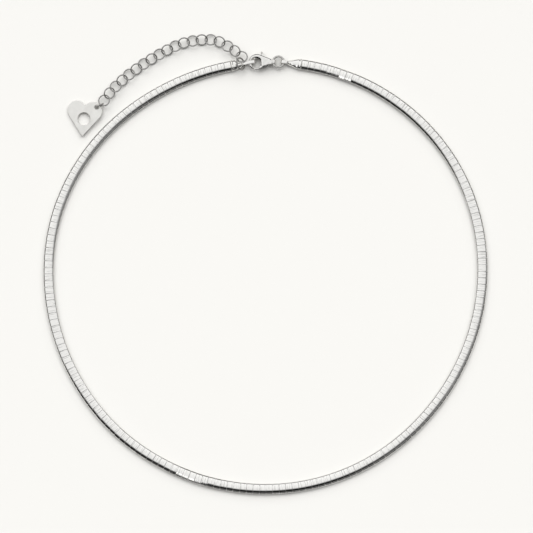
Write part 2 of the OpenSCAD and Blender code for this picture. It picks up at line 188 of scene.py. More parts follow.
@dataclass
class Skin:
    """Closed surfaces, gathered until they become one mesh."""

    points: list[Array] = field(default_factory=list)
    quads: list[Array] = field(default_factory=list)
    triangles: list[Array] = field(default_factory=list)
    count: int = 0

    def grid(self, points: Array, ring_u: bool = False) -> None:
        """Adds one or many grids of u rows by v columns, each a closed surface facing outwards.

        Each quad joins the four neighbours of a grid cell, and the last column meets the first.
        Open first and last rows are closed by fans to their own middles. A grid whose volume
        comes out negative is turned inside out.

        Args:
            points: Array of (..., u, v, 3); leading axes are copies of the same grid.
            ring_u: Whether the last row meets the first.
        """
        copies = points.reshape((-1,) + points.shape[-3:])
        number, rows, columns, _ = copies.shape
        u = np.arange(rows if ring_u else rows - 1)[:, None]
        v = np.arange(columns)[None, :]
        u1, v1 = (u + 1) % rows, (v + 1) % columns
        cell = [u * columns + v, u1 * columns + v, u1 * columns + v1, u * columns + v1]
        quads, fans = np.stack(cell, axis=-1).reshape(-1, 4), np.zeros((0, 3), int)
        flat = copies.reshape(number, rows * columns, 3)
        if not ring_u:
            flat = np.concatenate([flat, copies[:, [0, -1]].mean(axis=2)], axis=1)
            first = np.arange(columns)
            last, hub = first + (rows - 1) * columns, np.full(columns, rows * columns)
            fans = np.concatenate([
                np.stack([hub, first, np.roll(first, -1)], axis=-1),
                np.stack([hub + 1, np.roll(last, -1), last], axis=-1),
            ])
        sample = flat[0] - flat[0].mean(axis=0)
        every = np.concatenate([quads[:, :3], quads[:, [0, 2, 3]], fans])
        a, b, c = (sample[every[:, k]] for k in range(3))
        if np.einsum("ij,ij->", a, np.cross(b, c)) < 0:
            quads, fans = quads[:, ::-1], fans[:, ::-1]
        shift = self.count + np.arange(number)[:, None, None] * flat.shape[1]
        self.points.append(flat.reshape(-1, 3))
        self.quads.append((quads[None] + shift).reshape(-1, 4))
        self.triangles.append((fans[None] + shift).reshape(-1, 3))
        self.count += number * flat.shape[1]

    def piece(self, name: str, finish: bpy.types.Material,
              crease: float = 38.0) -> bpy.types.Object:
        """Makes the gathered surfaces one object.

        Args:
            name: The object's name.
            finish: Its material.
            crease: Angle past which an edge stays sharp.

        Returns:
            The object, at the origin, linked to the scene.
        """
        quads, triangles = np.concatenate(self.quads), np.concatenate(self.triangles)
        mesh = bpy.data.meshes.new(name)
        faces = quads.tolist() + triangles.tolist()
        mesh.from_pydata((np.concatenate(self.points) * MM).tolist(), [], faces)
        mesh.materials.append(finish)
        mesh.validate()
        smooth(mesh, crease)
        thing = bpy.data.objects.new(name, mesh)
        bpy.context.collection.objects.link(thing)
        return thing


def surface(name: str, finish: bpy.types.Material, grid: Array, crease: float = 38.0,
            ring_u: bool = False) -> bpy.types.Object:
    """Makes one object of one grid, or of many copies of it.

    Args:
        name: The object's name.
        finish: Its material.
        grid: Array of (..., u, v, 3).
        crease: Angle past which an edge stays sharp.
        ring_u: Whether the last row meets the first.

    Returns:
        The object, at the origin, linked to the scene.
    """
    skin = Skin()
    skin.grid(grid, ring_u)
    return skin.piece(name, finish, crease)


def carve(piece: bpy.types.Object, cutter: bpy.types.Object, crease: float) -> None:
    """Cuts one closed piece out of another and removes the cutter.

    Args:
        piece: The object that keeps what is left.
        cutter: The object whose inside is taken away.
        crease: Angle past which an edge stays sharp.
    """
    cut = piece.modifiers.new("cut", "BOOLEAN")
    cut.operation, cut.object, cut.solver = "DIFFERENCE", cutter, "EXACT"
    seen = piece.evaluated_get(bpy.context.evaluated_depsgraph_get())
    mesh = bpy.data.meshes.new_from_object(seen)
    piece.modifiers.clear()
    old, piece.data = piece.data, mesh
    mesh.name = piece.name
    smooth(mesh, crease)
    bpy.data.meshes.remove(old)
    bpy.data.meshes.remove(cutter.data)


def join(piece: bpy.types.Object, other: bpy.types.Object) -> None:
    """Adds one object's mesh to another and removes the one.

    Args:
        piece: The object that grows.
        other: The object that goes into it.
    """
    both = [piece, other]
    with bpy.context.temp_override(active_object=piece, object=piece, selected_objects=both,
                                   selected_editable_objects=both):
        bpy.ops.object.join()


def settle(piece: bpy.types.Object, body: str, solid: str) -> None:
    """Puts a finished piece in place of its solid and reports it.

    Args:
        piece: The finished object.
        body: The moving body that it belongs to.
        solid: The solid that it stands for.
    """
    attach(piece, body)
    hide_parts(solid)
    LOG.info("%s: %d faces on %s", piece.name, len(piece.data.polygons), body)


# Finishes


def linear(colour: str) -> tuple[float, float, float, float]:
    """Turns an sRGB hex colour to linear red, green, blue and alpha.

    Args:
        colour: The colour, such as "#F5F4F1".

    Returns:
        Its linear parts from 0 to 1, with an alpha of 1.
    """
    parts = [int(colour[i:i + 2], 16) / 255.0 for i in (1, 3, 5)]
    red, green, blue = (c / 12.92 if c <= 0.04045 else ((c + 0.055) / 1.055) ** 2.4 for c in parts)
    return red, green, blue, 1.0


def node(tree: bpy.types.NodeTree, kind: str, links: dict | None = None,
         **settings: object) -> bpy.types.Node:
    """Adds one node, with its settings, its plain input values and its links.

    Args:
        tree: The node tree.
        kind: Blender's name of the node.
        links: Input name or number to a value, or to the output socket that feeds it.
        **settings: Attributes of the node.

    Returns:
        The node.
    """
    made = tree.nodes.new(kind)
    for name, value in settings.items():
        setattr(made, name, value)
    for name, value in (links or {}).items():
        if isinstance(value, bpy.types.NodeSocket):
            tree.links.new(value, made.inputs[name])
        else:
            made.inputs[name].default_value = value
    return made


def bare_tree(owner: bpy.types.Material | bpy.types.World) -> bpy.types.NodeTree:
    """Gives the node tree of a material or a world, with no nodes in it.

    Args:
        owner: The material or world.

    Returns:
        Its node tree.
    """
    owner.use_nodes = True
    owner.node_tree.nodes.clear()
    return owner.node_tree


class Grain(Enum):
    """How a silver surface was worked, which sets the shape of its finest marks."""

    POLISHED = "polished"
    RIBBED = "ribbed"
    SATIN = "satin"
    WOVEN = "woven"


@dataclass(frozen=True)
class Silver:
    """A silver finish: bright metal whose clouding and marks vary its roughness and tilt its gloss.

    Clouds of handling film a few millimetres wide raise the roughness a little, and fine buffing
    marks tilt the surface, so that the eye sees a soft break in an otherwise mirror-like shine.
    """

    name: str
    light: str
    dark: str
    roughness: float
    clouding: float  # how much the densest clouds add to the roughness
    marks: float  # strength of the fine marks
    grain: Grain = Grain.POLISHED
    cloud_mm: float = 3.0
    cloud_from: float = 0.3
    cloud_to: float = 0.7
    mark_mm: float = 0.35
    depth_mm: float = 0.02
    mark_share: float = 0.34  # a buffing mark's width over its length
    mark_turn: float = 24.0
    tone_from: float = 0.35
    tone_to: float = 0.75
    loop_mm: float = 64.7
    rib_share: float = 0.08  # a rib's width over its length

    def material(self) -> bpy.types.Material:
        """Builds the finish on Object coordinates.

        Returns:
            The material.
        """
        made = bpy.data.materials.new(self.name)
        tree = bare_tree(made)
        where = node(tree, "ShaderNodeTexCoord").outputs["Object"]
        clouds = node(tree, "ShaderNodeTexNoise", {
            "Vector": where, "Scale": 1.0 / (self.cloud_mm * MM), "Detail": 3.0, "Roughness": 0.55,
        }).outputs["Fac"]
        if self.grain is Grain.RIBBED:
            laid = self.round_the_loop(tree, where)
        else:
            share = 1.0 if self.grain is Grain.WOVEN else self.mark_share
            laid = node(tree, "ShaderNodeMapping", {
                "Vector": where, "Scale": (1.0, share, 1.0),
                "Rotation": (0.0, 0.0, math.radians(self.mark_turn)),
            }).outputs[0]
        marks = node(tree, "ShaderNodeTexNoise", {
            "Vector": laid, "Scale": 1.0 / (self.mark_mm * MM), "Detail": 4.0, "Roughness": 0.6,
        }).outputs["Fac"]
        rough = node(tree, "ShaderNodeMapRange", {
            "Value": clouds, "From Min": self.cloud_from, "From Max": self.cloud_to,
            "To Min": self.roughness, "To Max": self.roughness + self.clouding,
        }).outputs[0]
        # Ribbed plates take their colour from the marks, so each rib's grey is painted shade of its
        # score line. The other finishes take it from the clouds, at random.
        tone_and_rib_shade = node(tree, "ShaderNodeMapRange", {
            "Value": marks if self.grain is Grain.RIBBED else clouds,
            "From Min": self.tone_from, "From Max": self.tone_to,
        }).outputs[0]
        colour = node(tree, "ShaderNodeMix", {
            0: tone_and_rib_shade, 6: linear(self.light), 7: linear(self.dark),
        }, data_type="RGBA").outputs[2]
        bump = node(tree, "ShaderNodeBump", {
            "Height": marks, "Strength": self.marks, "Distance": self.depth_mm * MM,
        })
        shader = node(tree, "ShaderNodeBsdfPrincipled", {
            "Base Color": colour, "Metallic": 1.0, "Roughness": rough, "Normal": bump.outputs[0],
        })
        node(tree, "ShaderNodeOutputMaterial", {"Surface": shader.outputs[0]})
        return made

    def round_the_loop(self, tree: bpy.types.NodeTree,
                       where: bpy.types.NodeSocket) -> bpy.types.NodeSocket:
        """Lays the marks across the band, wherever it goes round the loop.

        The first number of the new coordinates is the length round a circle of the loop's radius,
        the second a twelfth of the distance from its middle, so that marks run across the band.

        Args:
            tree: The material's node tree.
            where: Object coordinates.

        Returns:
            The new coordinates.
        """
        parts = node(tree, "ShaderNodeSeparateXYZ", {0: where}).outputs
        angle = node(tree, "ShaderNodeMath", {0: parts["Y"], 1: parts["X"]}, operation="ARCTAN2")
        length = node(tree, "ShaderNodeMath", {0: angle.outputs[0], 1: self.loop_mm * MM},
                      operation="MULTIPLY")
        reach = node(tree, "ShaderNodeVectorMath", {0: where}, operation="LENGTH")
        across = node(tree, "ShaderNodeMath", {0: reach.outputs["Value"], 1: self.rib_share},
                      operation="MULTIPLY")
        laid = {"X": length.outputs[0], "Y": across.outputs[0]}
        return node(tree, "ShaderNodeCombineXYZ", laid).outputs[0]


# Sterling silver, polished on a buffing wheel: a clear bright mirror with a trace of haze
POLISHED = Silver("polished_sterling_silver", "#F5F4F1", "#ECEBE8", roughness=0.06, clouding=0.05,
                  marks=0.12)
# The same polish over plates that were scored across: fine ribs whose grey is painted shade of the
# score lines, combing the edge of the dark reflection. They are drawn 0.34 mm apart, coarser than
# the real ones, so that they show.
RIBBED = Silver("ribbed_silver_plate_painted_shade", "#F5F4F1", "#C6C5C2", roughness=0.05, clouding=0.04,
                marks=0.18, grain=Grain.RIBBED, mark_mm=0.34, tone_from=0.5)
# Cast silver, polished over slight waves: as bright as the plates, with a broader shine
CAST = Silver("cast_silver", "#EEEDEA", "#E2E1DE", roughness=0.06, clouding=0.05, marks=0.3,
              cloud_mm=1.2, mark_mm=0.7)
# Drawn silver wire, tumbled smooth but not buffed, with a soft shine. Its grey, far darker than the
# polished silver, is painted shade that stands in for the dim look of the thin wires.
DRAWN = Silver("drawn_silver_wire_painted_shade", "#B3B2B0", "#989795", roughness=0.16, clouding=0.08, marks=0.2,
               cloud_mm=1.5)
# Thicker drawn wire, buffed after it was closed: between the chain's grey and the cast clasp
BUFFED = Silver("buffed_silver_wire", "#CFCECB", "#BBBAB7", roughness=0.08, clouding=0.06,
                marks=0.15, cloud_mm=1.5)
# Knitted silver mesh, dulled between its wires: grey and broken
MESH = Silver("knitted_silver_mesh", "#B9B7B2", "#8E8C88", roughness=0.32, clouding=0.12,
              marks=0.5, grain=Grain.WOVEN, cloud_mm=0.8, mark_mm=0.12)
# Rolled silver sheet with a satin brush: even pale grey, its gloss spread wide
SATIN = Silver("satin_silver_sheet", "#F2F1ED", "#E8E7E3", roughness=0.34, clouding=0.08,
               marks=0.35, grain=Grain.SATIN, cloud_mm=2.5, mark_mm=0.25)


@dataclass(frozen=True)
class TablePaper:
    """Matt white card, faintly warm: a plain pale ground with hardly any gloss of its own."""

    colour: str = "#C4C3C0"
    roughness: float = 0.85
    gloss: float = 0.15
    fibre_mm: float = 0.6
    fibre_marks: float = 0.05
    fibre_depth_mm: float = 0.02

    def material(self) -> bpy.types.Material:
        """Builds the card on Object coordinates.

        Returns:
            The material.
        """
        made = bpy.data.materials.new("matt_white_card")
        tree = bare_tree(made)
        where = node(tree, "ShaderNodeTexCoord").outputs["Object"]
        fibre = node(tree, "ShaderNodeTexNoise", {
            "Vector": where, "Scale": 1.0 / (self.fibre_mm * MM),
        })
        bump = node(tree, "ShaderNodeBump", {
            "Height": fibre.outputs["Fac"], "Strength": self.fibre_marks,
            "Distance": self.fibre_depth_mm * MM,
        })
        shader = node(tree, "ShaderNodeBsdfPrincipled", {
            "Base Color": linear(self.colour), "Roughness": self.roughness,
            "Specular IOR Level": self.gloss, "Normal": bump.outputs[0],
        })
        node(tree, "ShaderNodeOutputMaterial", {"Surface": shader.outputs[0]})
        return made


# The loop's route


@dataclass
class Loop:
    """Route of the band: a circle with a few shallow bell-shaped bends, as it was laid down.

    Angles are clockwise from +Y. The route's radius is the circle's, plus each bend's height times
    a bell curve of the angle from the bend's middle.
    """

    ring_r: float = 64.7
    flat_depth: float = 2.4
    flat_at: float = -12.0
    flat_spread: float = 33.0
    left_end: float = 9.5
    right_end: float = 9.90153
    pitch: float = 1.95
    samples: int = 4001
    # Each bend's middle, height as a share of the radius, and spread
    bends: Array = field(default_factory=lambda: np.array([
        [65.0, 0.0052, 16.0], [125.0, -0.0073, 18.0], [224.0, 0.0024, 10.0],
        [284.0, 0.0029, 9.0], [328.0, -0.0054, 13.0],
    ]))

    def at(self, angle: float | Array) -> Array:
        """Gives the route's points.

        Args:
            angle: Clockwise angles from +Y, of any shape.

        Returns:
            Points of (..., 2).
        """
        angle = np.asarray(angle, float)
        dent = [self.flat_at, -self.flat_depth / self.ring_r, self.flat_spread]
        middle, share, spread = np.concatenate([self.bends, [dent]]).T
        bent = (share * bell(aside(angle[..., None], middle), spread)).sum(axis=-1)
        return (self.ring_r * (1.0 + bent))[..., None] * ray(90.0 - angle)

    def heading(self, angle: float | Array) -> Array:
        """Gives the route's directions, from the points just before and just after.

        Args:
            angle: Clockwise angles from +Y, of any shape.

        Returns:
            Angles from +X, of the same shape.
        """
        angle, near = np.asarray(angle, float), 0.05
        way = self.at(angle + near) - self.at(angle - near)
        return np.degrees(np.arctan2(way[..., 1], way[..., 0]))

    def spaced(self, count: int, offset: float = 0.5) -> tuple[Array, float]:
        """Finds angles at equal lengths along the band.

        Args:
            count: Number of equal steps.
            offset: Where in its step each angle stands, from 0 to 1.

        Returns:
            The angles, and the length of a step.
        """
        angle = np.linspace(self.right_end, 360.0 - self.left_end, self.samples)
        length = lengths(self.at(angle))
        step = length[-1] / count
        return np.interp((np.arange(count) + offset) * step, length, angle), step

    @property
    def length(self) -> float:
        """Gives the band's length between the caps' rims."""
        return self.spaced(1)[1]

    @property
    def plates(self) -> int:
        """Counts the plates that fill the band."""
        return round(self.length / self.pitch)


@dataclass
class DomeSection:
    """Section of the band: a long arc on top, round shoulders, upright sides, turned edges."""

    half: float = 1.55
    height: float = 1.5
    edge_r: float = 0.4
    shoulder_r: float = 0.3
    shoulder_z: float = 0.7

    def outline(self, grow: float = 0.0, lift: float = 0.0, lip: float = 0.0, top: int = 5,
                shoulder: int = 3, edge: int = 3) -> tuple[Array, Array]:
        """Gives the section's outline from one lower side over the top to the other.

        The top is an arc of the radius that meets both shoulder circles smoothly. Each side runs
        from straight down round the edge's circle, up, and round the shoulder's to that meeting.

        Args:
            grow: How far the outline stands out from the band's.
            lift: How far it is raised.
            lip: Half the opening underneath.
            top: Points along the top arc.
            shoulder: Points along each shoulder.
            edge: Points along each turned-under edge.

        Returns:
            Points and outward directions, both (n, 2).
        """
        run, rise = self.half - self.shoulder_r, self.height - self.shoulder_r - self.shoulder_z
        spread = (run ** 2 + rise ** 2) / (2.0 * rise)
        low = self.height - self.shoulder_r - spread
        meet = math.degrees(math.atan2(self.shoulder_z - low, run))
        under, side = np.linspace(-90.0, 0.0, edge), np.linspace(0.0, meet, shoulder)
        over = np.linspace(meet, 180.0 - meet, top)[1:-1]
        right = np.concatenate([
            [[lip, -grow]],
            ray(under) * (self.edge_r + grow) + [self.half - self.edge_r, self.edge_r],
            ray(side) * (self.shoulder_r + grow) + [run, self.shoulder_z],
        ])
        arc = ray(over) * (spread + self.shoulder_r + grow) + [0.0, low]
        ways = np.concatenate([[-90.0], under, side])
        points = np.concatenate([right, arc, right[::-1] * [-1, 1]]) + [0.0, lift]
        return points, ray(np.concatenate([ways, over, 180.0 - ways[::-1]]))


# The band


@dataclass
class Band:
    """The domed plates on their woven core."""

    loop: Loop
    section: DomeSection = field(default_factory=DomeSection)
    seam: float = 0.045
    wall: float = 0.22
    lip: float = 0.65
    bevel: float = 0.05
    bevel_slope: float = 28.0
    crease: float = 25.5
    seed: int = 7
    tilt: float = 0.5  # spread of the plates' lean, and the most that one leans
    tilt_most: float = 1.0
    jitter: float = 0.018  # spread of the plates' lengths, and the most that one is off
    jitter_most: float = 0.02
    # Each twist's middle, greatest roll and spread, by the loop's angles
    twists: Array = field(default_factory=lambda: np.array([
        [21.8, -5.0, 1.4], [40.0, -2.2, 14.0], [198.0, 4.5, 5.0],
        [236.0, -2.0, 8.0], [334.0, 3.6, 15.0],
    ]))
    core_half: float = 1.05
    core_low: float = 0.34
    core_height: float = 0.42
    core_edge: float = 0.25  # share of the core's height that is left at its edges
    core_across: int = 11
    core_crease: float = 60.0
    strand: float = 0.42
    strand_steps: float = 3.0
    ridge: float = 0.07

    def plates(self, first: int, last: int) -> Array:
        """Builds the bent sheets of some plates.

        Rows go round the bend from lip to lip. Columns go round the sheet's thickness: outside
        from one end to the other, with both ends bevelled, then back inside. Each plate is cut a
        hair longer or shorter, and leans by a hair in pitch and roll, as real plates do. Where the
        band is twisted, bell-shaped in the angle, the roll is a few degrees. Each plate is raised
        by what its lean takes its corners down, so that it stays on the table.

        Args:
            first: First plate, counted from the band's right end.
            last: Last plate.

        Returns:
            A grid of (plates, rows, columns, 3).
        """
        count = self.loop.plates
        angles, step = self.loop.spaced(count)
        half = (step - self.seam) / 2.0
        drop = self.bevel * math.tan(math.radians(self.bevel_slope))
        along = np.array([-half, self.bevel - half, half - self.bevel, half, half, -half])
        depth = np.array([drop, 0.0, 0.0, drop, self.wall, self.wall])
        bend, out = self.section.outline(lip=self.lip)
        across = bend[:, None, :] - out[:, None, :] * depth[None, :, None]
        along = np.broadcast_to(along, across.shape[:2])
        local = np.concatenate([along[..., None], across], axis=-1)
        chance = np.random.default_rng(self.seed)
        lean = chance.normal(0.0, self.tilt, (count, 2))
        cut = np.clip(chance.normal(0.0, self.jitter, count), -self.jitter_most, self.jitter_most)
        middle, most, spread = self.twists.T
        twist = (most * bell(aside(angles[:, None], middle), spread)).sum(axis=1)
        lean = np.clip(lean, -self.tilt_most, self.tilt_most)
        lean[:, 1] += twist
        angles, lean, cut = (row[first:last + 1] for row in (angles, lean, cut))
        turns = np.stack([spin("z", turn) @ spin("y", pitch) @ spin("x", roll)
                          for turn, (pitch, roll) in zip(self.loop.heading(angles), lean)])
        middle = np.array([0.0, 0.0, self.section.height / 2.0])
        tip = np.abs(np.sin(np.radians(lean)))
        foot = self.section.half - self.section.edge_r
        base = raised(self.loop.at(angles), middle[2] + half * tip[:, 0] + foot * tip[:, 1])
        sized = (local - middle) * (1.0 + cut[:, None, None, None] / half * [1.0, 0.0, 0.0])
        return np.einsum("pij,puvj->puvi", turns, sized) + base[:, None, None, :]

    def core(self) -> Array:
        """Builds the knitted core as a ribbon whose top and underside follow its strands.

        The ribbon's height at a point is raised by the larger of two sets of diagonal ridges, each
        the squared cosine of the distance across them, so that they cross like a braid.

        Returns:
            A grid of (stations, section points, 3).
        """
        rows = int(self.loop.length / self.strand * self.strand_steps)
        angles, step = self.loop.spaced(rows, 0.0)
        angles = np.concatenate([angles, [360.0 - self.loop.left_end]])
        way = ray(self.loop.heading(angles) + 90.0)
        across = np.linspace(-1.0, 1.0, self.core_across)
        side = np.concatenate([across, across[::-1]])
        face = np.repeat([1.0, -1.0], self.core_across)
        length = np.arange(len(angles))[:, None] * step
        span = side[None, :] * self.core_half
        ridge = np.maximum(*(np.cos((length + sign * span) * math.pi / self.strand) ** 2
                             for sign in (1.0, -1.0)))
        worn = self.core_height / 2.0 - self.ridge * (1.0 - ridge)
        round_off = np.sqrt(np.maximum(0.0, 1.0 - np.abs(side) ** 4))
        rise = worn * (self.core_edge + (1.0 - self.core_edge) * round_off) * face
        flat = self.loop.at(angles)[:, None, :] + way[:, None, :] * span[..., None]
        return raised(flat, self.core_low + self.core_height / 2.0 + rise)

    def build(self, plate: bpy.types.Material, mesh: bpy.types.Material) -> None:
        """Builds both halves and the core, and puts them in place of their solids.

        Args:
            plate: The plates' finish.
            mesh: The core's finish.
        """
        count = self.loop.plates
        for side, first, last in (("right", 0, count // 2 - 1), ("left", count // 2, count - 1)):
            half = surface(f"plates_{side}_dressed", plate, self.plates(first, last), self.crease)
            settle(half, NECKLACE, f"plates_{side}")
        core = surface("core_dressed", mesh, self.core(), self.core_crease)
        settle(core, NECKLACE, "band_core")


# End caps


@dataclass
class EndCap:
    """An end cap in its own frame: rim at x = 0, eye towards +X."""

    name: str
    at: Array
    heading: float
    slot_from: float
    slot_to: float
    tip_half: float
    section: DomeSection = field(default_factory=DomeSection)
    step: float = 0.1
    rim_len: float = 0.7
    # The rim's bead: stations, and how far the section is drawn in there
    bead: Array = field(default_factory=lambda: np.array([
        [0.0, 0.2], [0.2, 0.01], [0.23, 0.0], [0.35, 0.0], [0.47, 0.0],
        [0.5, 0.01], [0.69, 0.19], [0.78, 0.19], [0.9, 0.14],
    ]))
    body_from: float = 0.95
    body_inset: float = 0.12
    body_rows: int = 14
    taper: float = 0.9
    tip_top: float = 1.5
    nose_from: float = 0.22  # how far before the body's end its nose begins
    nose_len: float = 0.3
    nose_left: float = 0.45  # share of the section that is left at the nose's end
    nose_start: float = 0.15  # share of the quarter circle where the nose's rows start
    nose_rows: int = 7
    back: float = 0.25
    slot_r: float = 0.65
    wall: float = 0.35
    eye_half: float = 0.5
    eye_rows: int = 15
    crease: float = 50.0

    @property
    def place(self) -> Place:
        """Gives the cap's place on the table."""
        return Place(spin("z", self.heading), np.array([*self.at, 0.0]))

    @property
    def eye_high(self) -> float:
        """Gives the height of the eye's middle."""
        return self.slot_r + self.wall

    def body(self) -> Array:
        """Builds the rim and the body that narrows to the eye.

        Rows are stations along the cap. Each holds the band's section, drawn in by the rim's
        round bead, then scaled in width and height along an eased curve, and drawn in over a
        quarter circle at the nose.

        Returns:
            A grid of (stations, section points, 3).
        """
        end = self.slot_from - self.back
        base = end - self.nose_from
        straight = np.linspace(self.body_from, base, self.body_rows)
        nose = np.radians(90.0 * np.linspace(self.nose_start, 1.0, self.nose_rows))
        bead_at, bead_in = self.bead.T
        x = np.concatenate([bead_at, straight, base + self.nose_len * np.sin(nose)])
        inset = np.concatenate([bead_in, np.full(len(straight) + len(nose), self.body_inset)])
        left = self.nose_left + (1.0 - self.nose_left) * np.cos(nose)
        close = np.concatenate([np.ones(len(bead_at) + len(straight)), left])
        ease = eased((x - self.rim_len) / (end - self.rim_len)) ** self.taper
        outline, _ = self.section.outline(self.step, self.step, top=11, shoulder=4, edge=4)
        half, top = outline.max(axis=0)
        width = (half - inset) / half + (self.tip_half - (half - inset)) / half * ease
        height = (top - inset) / top + (self.tip_top - (top - inset)) / top * ease
        mid = top / 2.0
        y = outline[None, :, 0] * (width * close)[:, None]
        z = (outline[None, :, 1] - mid) * (height * close)[:, None] + mid * height[:, None]
        return np.stack([np.broadcast_to(x[:, None], y.shape), y, z], axis=-1)

    def eye(self) -> Array:
        """Builds the eye: a flat bar carried round a long loop in the cap's middle plane.

        Returns:
            A grid of (stations, section points, 3).
        """
        near, far = self.slot_from + self.slot_r, self.slot_to - self.slot_r
        turn = np.linspace(-90.0, 90.0, self.eye_rows)
        out = np.concatenate([ray(turn), ray(turn + 180.0)])
        middle = np.stack([np.repeat([far, near], self.eye_rows),
                           np.full(len(out), self.eye_high)], axis=-1)
        path = middle + (self.slot_r + self.wall / 2.0) * out
        return bar_loop(path, out, 0.0, self.eye_half, self.wall)

    def build(self, finish: bpy.types.Material) -> None:
        """Builds the cap and puts it in place of its solid.

        Args:
            finish: The cap's finish.
        """
        skin = Skin()
        skin.grid(self.place.of(self.body()))
        skin.grid(self.place.of(self.eye()), ring_u=True)
        settle(skin.piece(f"{self.name}_dressed", finish, self.crease), NECKLACE, self.name)


# The clasp


@dataclass
class Clasp:
    """The lobster clasp in its own frame: the hook's middle at the origin, the tail towards +X."""

    at: tuple[float, float] = (-2.71415, 62.1579)
    heading: float = -0.061689
    thick: float = 2.2
    in_r: float = 1.45
    out_r: float = 2.35
    out_at: tuple[float, float] = (0.1, 0.35)
    pin: tuple[float, float] = (2.2, -0.1)
    reach: float = 3.3
    gap: float = 0.1
    step: float = 0.1
    # Run and drop of a softened edge from its foot up, as shares of its slope's width
    edge_run: tuple[float, ...] = (0.0, 0.04, 0.6, 1.0)
    edge_drop: tuple[float, ...] = (0.77, 0.65, 0.16, 0.0)
    slant_least: float = 0.4  # least sine of the angle between a row and an edge
    slope_most: float = 0.48  # most of a row that one slope takes
    drop_most: float = 0.8  # most of the half thickness that a slope takes
    # The body: rows of the hook, of a straight side and of the tail, and the share of the inner
    # edge's sweep at each corner between them
    rows: tuple[int, int, int] = (34, 16, 5)
    corners: tuple[float, ...] = (0.0, 0.56, 0.8, 0.84, 1.0)
    inner_from: float = 229.0
    inner_to: float = -62.0
    hook_half: float = 0.42
    hook_tip: tuple[float, float] = (0.05, 12.0)  # first and last square of the tip's shares
    swell_from: float = 0.34
    swell_to: float = 0.6
    thin_from: float = 0.86
    thin: float = 0.22
    inner_slope: float = 0.5
    hook_slope: float = 0.3
    body_slope: float = 0.46
    crease: float = 20.0
    room_left: float = 0.45
    room_right: float = 0.2
    room_reach: float = 6.0
    side_gap: float = 0.1
    tail: tuple[float, float] = (4.95, 0.45)
    tail_half: float = 0.55
    tail_hole: float = 0.6
    tail_wall: float = 0.35
    tail_rows: int = 32
    tail_crease: float = 50.0
    # The lever
    lever_half: float = 0.35
    lever_crease: float = 24.0
    gate_rows: int = 26
    gate_tip: tuple[float, float] = (0.06, 8.0)
    gate_outer_to: float = 338.0
    gate_inner: tuple[float, float] = (232.0, 350.0)
    gate_slopes: tuple[float, float] = (0.32, 0.26)
    hub_r: float = 0.7
    hub_rows: int = 28
    # The hub's section: radius in hub radii, height in half thicknesses
    hub_section: Array = field(default_factory=lambda: np.array([
        [0.35, -1.0], [0.94, -1.0], [1.0, -0.8], [1.0, 0.8], [0.94, 1.0], [0.35, 1.0],
    ]))
    tab: tuple[float, float] = (1.62, 3.25)
    tab_r: float = 0.36
    tab_half: float = 0.55
    arm_half: float = 0.25
    arm_root: float = 0.52
    arm_from: float = 0.35
    arm_rows: int = 9
    # How far before the tab's middle the arm's rows, its taper and its full height end
    arm_to: float = 0.42
    taper_to: float = 0.4
    full_to: float = 0.1
    bead_from: float = -75.0
    bead_rows: int = 12
    least: float = 0.01

    @property
    def place(self) -> Place:
        """Gives the clasp's place on the table."""
        return Place(spin("z", self.heading), np.array([*self.at, self.thick / 2.0]))

    def edge_from(self, way: float | Array, radius: float) -> Array:
        """Gives points on a circle about the hook's outer middle, at angles about that middle."""
        return np.asarray(self.out_at) + radius * ray(way)

    def touch(self, corner: Array, side: float) -> float:
        """Finds where a line from a tail corner touches the outer circle.

        Args:
            corner: The tail's corner.
            side: 1 for the touching point to the left of the way there, -1 for the other.

        Returns:
            The touching point's angle about the outer middle.
        """
        away = corner - np.asarray(self.out_at)
        return heading(away) + side * math.degrees(math.acos(self.out_r / np.linalg.norm(away)))

    def pin_cut(self, radius: float, distance: float) -> float:
        """Finds the lower angle about the outer middle at a distance from the pin.

        It is where the circle of that radius about the outer middle meets the circle of that
        distance about the pin, below the line that joins their middles.

        Args:
            radius: The radius about the outer middle.
            distance: The distance from the pin.

        Returns:
            The angle, from 0 to 360.
        """
        way = np.asarray(self.pin) - np.asarray(self.out_at)
        apart = float(np.linalg.norm(way))
        share = (radius ** 2 + apart ** 2 - distance ** 2) / (2.0 * radius * apart)
        return (heading(way) - math.degrees(math.acos(share))) % 360.0

    def between(self, inner: Array, outer: Array, half: Array,
                slopes: tuple[float, float | Array]) -> Array:
        """Fills the space between two edges with a closed surface, flat above and below.

        Each row is a loop from the inner edge over the top to the outer edge and back below. Along
        each edge the face drops by a slope a little steeper at its foot, which is what the eye
        sees as a dark outline. Where a row meets an edge at a slant, its slope runs on by one over
        the sine of the angle between them, so that the slope square to the edge stays the same.

        Args:
            inner: Inner edge, (u, 2).
            outer: Outer edge, (u, 2).
            half: Half thickness at each row.
            slopes: Widths of the slopes along the inner and the outer edge.

        Returns:
            A grid of (u, v, 3).
        """
        apart = np.linalg.norm(outer - inner, axis=1)[:, None]
        run, drop = np.array(self.edge_run), np.array(self.edge_drop)
        way, runs, falls = (outer - inner) / apart, [], []
        for edge, width in zip((inner, outer), slopes):
            along = np.gradient(edge, axis=0)
            cross = way[:, 0] * along[:, 1] - way[:, 1] * along[:, 0]
            sine = np.abs(cross) / np.linalg.norm(along, axis=1)
            sine = np.maximum(sine, self.slant_least)[:, None]
            span = np.minimum(width / sine, self.slope_most * apart)
            runs.append(run * span / apart)
            falls.append(drop * (span * sine))
        mix = np.concatenate([runs[0], 1.0 - runs[1][:, ::-1]], axis=1)
        mix = np.concatenate([mix, mix[:, ::-1]], axis=1)[..., None]
        fall = np.concatenate([falls[0], falls[1][:, ::-1]], axis=1)
        high = half[:, None] - np.minimum(fall, self.drop_most * half[:, None])
        flat = inner[:, None, :] * (1.0 - mix) + outer[:, None, :] * mix
        return raised(flat, np.concatenate([high, -high[:, ::-1]], axis=1))

    @staticmethod
    def tip(rows: int, first: float, last: float) -> Array:
        """Gives the shares of a thickness that round a tip off: square roots of even steps."""
        return np.sqrt(np.clip(np.linspace(first, last, rows), 0.0, 1.0))

